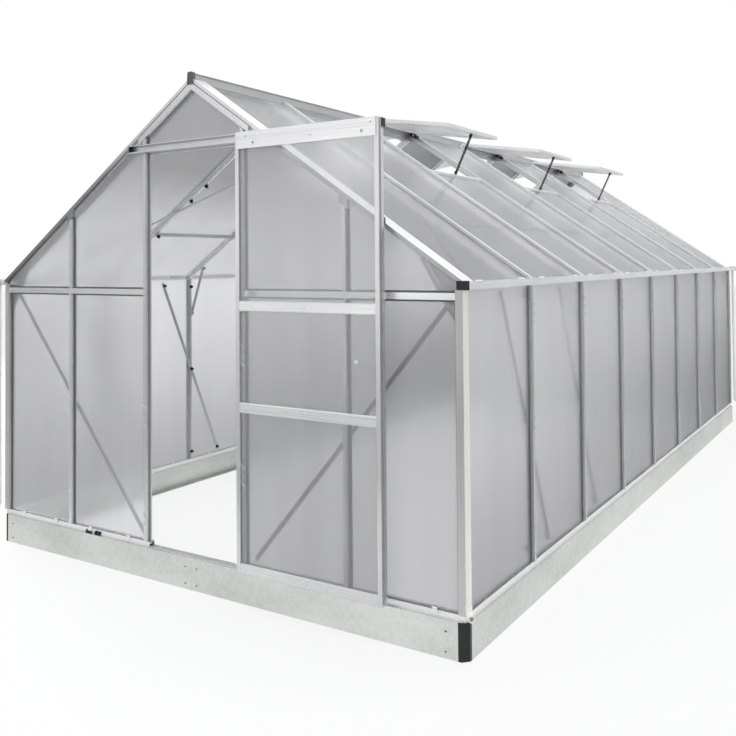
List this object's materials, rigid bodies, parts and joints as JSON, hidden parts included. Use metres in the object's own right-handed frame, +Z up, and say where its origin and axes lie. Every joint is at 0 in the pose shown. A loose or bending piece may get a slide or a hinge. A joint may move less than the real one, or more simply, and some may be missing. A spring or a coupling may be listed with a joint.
{
  "type": "greenhouse",
  "caption": "Gabled greenhouse of aluminium bars and translucent panels on a steel base frame, with open ridge vents, gutters with downpipes and a sliding door hung from a head track.",
  "frame": {"origin": "on the ground under the middle of the building's overall box", "axes": "+X to the right seen from the door, +Y from the door gable to the rear gable, +Z up"},
  "size_m": [2.5858, 4.9049, 2.1155],
  "materials": {
    "aluminium": "mill-finish extrusion, satin",
    "galvanised_steel": "galvanised sheet, faint spangle",
    "zinc_steel": "zinc-plated flat bar",
    "twin_wall_panel": "translucent fluted sheet",
    "black_plastic": "moulded black plastic",
    "black_steel": "black coated flat bar",
    "grey_plastic": "moulded grey plastic",
    "white_pipe": "white drain pipe"
  },
  "bodies": {
    "root": {"base_front": "galvanised_steel", "base_rear": "galvanised_steel", "base_left": "galvanised_steel", "base_right": "galvanised_steel", "base_corner_caps": "black_plastic", "base_joiners": "galvanised_steel", "end_sills": "aluminium", "side_sills": "aluminium", "threshold": "aluminium", "corner_posts": "aluminium", "wall_bars": "aluminium", "gutters": "aluminium", "gutter_end_caps": "black_plastic", "downpipes": "white_pipe", "ridge_beam": "aluminium", "ridge_end_caps": "grey_plastic", "rafters": "aluminium", "front_verges": "aluminium", "rear_verges": "aluminium", "front_gable_bars": "aluminium", "door_posts": "aluminium", "rear_gable_bars": "aluminium", "front_eave_rails": "aluminium", "rear_eave_rails": "aluminium", "door_header": "aluminium", "door_track": "aluminium", "door_track_caps": "black_plastic", "purlins": "aluminium", "wall_braces": "zinc_steel", "gable_braces": "zinc_steel", "roof_braces": "zinc_steel", "knee_braces": "zinc_steel", "corner_gussets": "zinc_steel", "wall_panels": "twin_wall_panel", "roof_panels": "twin_wall_panel", "front_gable_panels": "twin_wall_panel", "rear_gable_panels": "twin_wall_panel", "vent_frames": "aluminium", "vent_panels": "twin_wall_panel", "vent_sills": "aluminium", "vent_stays": "black_steel"},
    "door": {"door_stiles": "aluminium", "door_top_plate": "aluminium", "door_rails": "aluminium", "door_panels": "twin_wall_panel", "door_rollers": "black_plastic"}
  },
  "joints": [
    {"name": "door_slide", "type": "slide", "parent": "root", "child": "door", "axis": [-1, 0, 0], "range_m": [0, 0.6195]}
  ]
}
